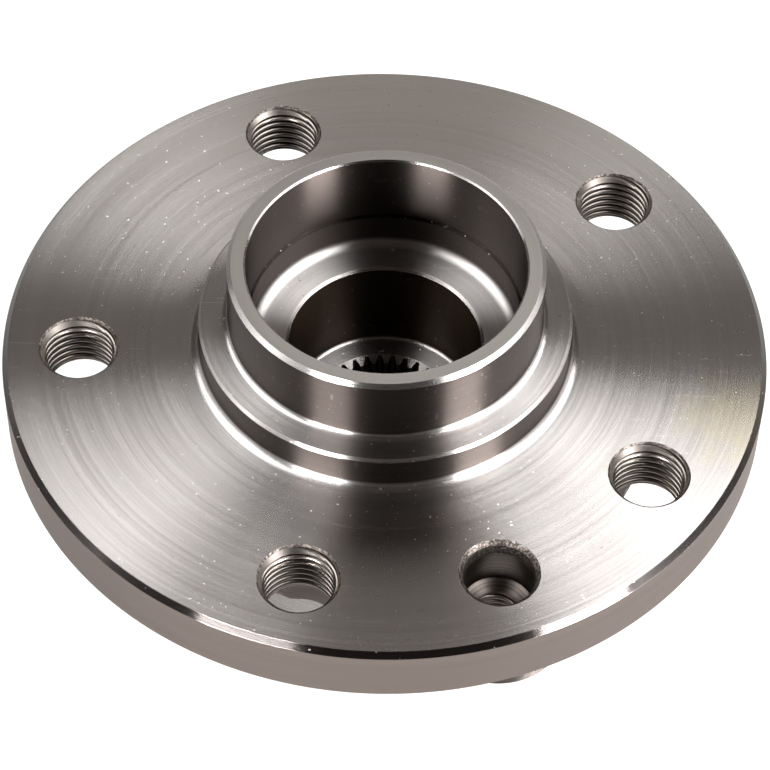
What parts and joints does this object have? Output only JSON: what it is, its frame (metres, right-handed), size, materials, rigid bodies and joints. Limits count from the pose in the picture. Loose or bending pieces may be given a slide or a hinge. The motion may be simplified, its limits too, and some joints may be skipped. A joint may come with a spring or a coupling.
{
  "type": "wheel hub bearing",
  "caption": "Turned steel wheel hub with a hollow pilot, threaded bolt holes and internal spline, pressed into a sealed double-row angular contact ball bearing.",
  "frame": {"origin": "centre of the flange's front face, where the wheel and the brake disc seat", "axes": "+Z along the hub's axis towards the wheel; -Y towards the camera of the picture"},
  "size_m": [0.14, 0.14, 0.0764],
  "materials": {
    "turned_hub_steel": "lathe-turned bare steel, satin, fine concentric marks",
    "ground_ring_steel": "ground bearing steel",
    "polished_ball_steel": "lapped and polished bearing steel",
    "cage_polyamide": "black glass-filled polyamide, matt",
    "seal_sheet_steel": "pressed sheet steel",
    "flinger_stainless": "pressed stainless sheet",
    "seal_rubber": "moulded nitrile rubber, matt",
    "encoder_rubber": "magnetised rubber, smooth and dark",
    "spring_steel": "hardened strip"
  },
  "bodies": {
    "stationary_ring": {"outer_ring": "ground_ring_steel", "seal_case_outboard": "seal_sheet_steel", "seal_lip_outboard": "seal_rubber", "seal_case_inboard": "seal_sheet_steel", "seal_lip_inboard": "seal_rubber"},
    "rotating_hub": {"hub": "turned_hub_steel", "inner_ring_outboard": "ground_ring_steel", "inner_ring_inboard": "ground_ring_steel", "inner_ring_clip": "spring_steel", "flinger_outboard": "flinger_stainless", "flinger_inboard": "flinger_stainless", "encoder_ring": "encoder_rubber"},
    "outboard_ball_row": {"cage_outboard": "cage_polyamide", "ball_outboard_01": "polished_ball_steel", "ball_outboard_02": "polished_ball_steel", "ball_outboard_03": "polished_ball_steel", "ball_outboard_04": "polished_ball_steel", "ball_outboard_05": "polished_ball_steel", "ball_outboard_06": "polished_ball_steel", "ball_outboard_07": "polished_ball_steel", "ball_outboard_08": "polished_ball_steel", "ball_outboard_09": "polished_ball_steel", "ball_outboard_10": "polished_ball_steel", "ball_outboard_11": "polished_ball_steel", "ball_outboard_12": "polished_ball_steel", "ball_outboard_13": "polished_ball_steel", "ball_outboard_14": "polished_ball_steel"},
    "inboard_ball_row": {"cage_inboard": "cage_polyamide", "ball_inboard_01": "polished_ball_steel", "ball_inboard_02": "polished_ball_steel", "ball_inboard_03": "polished_ball_steel", "ball_inboard_04": "polished_ball_steel", "ball_inboard_05": "polished_ball_steel", "ball_inboard_06": "polished_ball_steel", "ball_inboard_07": "polished_ball_steel", "ball_inboard_08": "polished_ball_steel", "ball_inboard_09": "polished_ball_steel", "ball_inboard_10": "polished_ball_steel", "ball_inboard_11": "polished_ball_steel", "ball_inboard_12": "polished_ball_steel", "ball_inboard_13": "polished_ball_steel", "ball_inboard_14": "polished_ball_steel"}
  },
  "joints": [
    {"name": "hub_spin", "type": "hinge", "parent": "stationary_ring", "child": "rotating_hub", "pos_m": [0, 0, -0.0365], "axis": [0, 0, 1], "continuous": true},
    {"name": "outboard_row_orbit", "type": "hinge", "parent": "stationary_ring", "child": "outboard_ball_row", "pos_m": [0, 0, -0.0291], "axis": [0, 0, 1], "continuous": true},
    {"name": "inboard_row_orbit", "type": "hinge", "parent": "stationary_ring", "child": "inboard_ball_row", "pos_m": [0, 0, -0.0439], "axis": [0, 0, 1], "continuous": true}
  ],
  "couplings": [
    {"joint": "outboard_row_orbit", "follows": "hub_spin", "ratio": 0.4324},
    {"joint": "inboard_row_orbit", "follows": "hub_spin", "ratio": 0.4324}
  ]
}
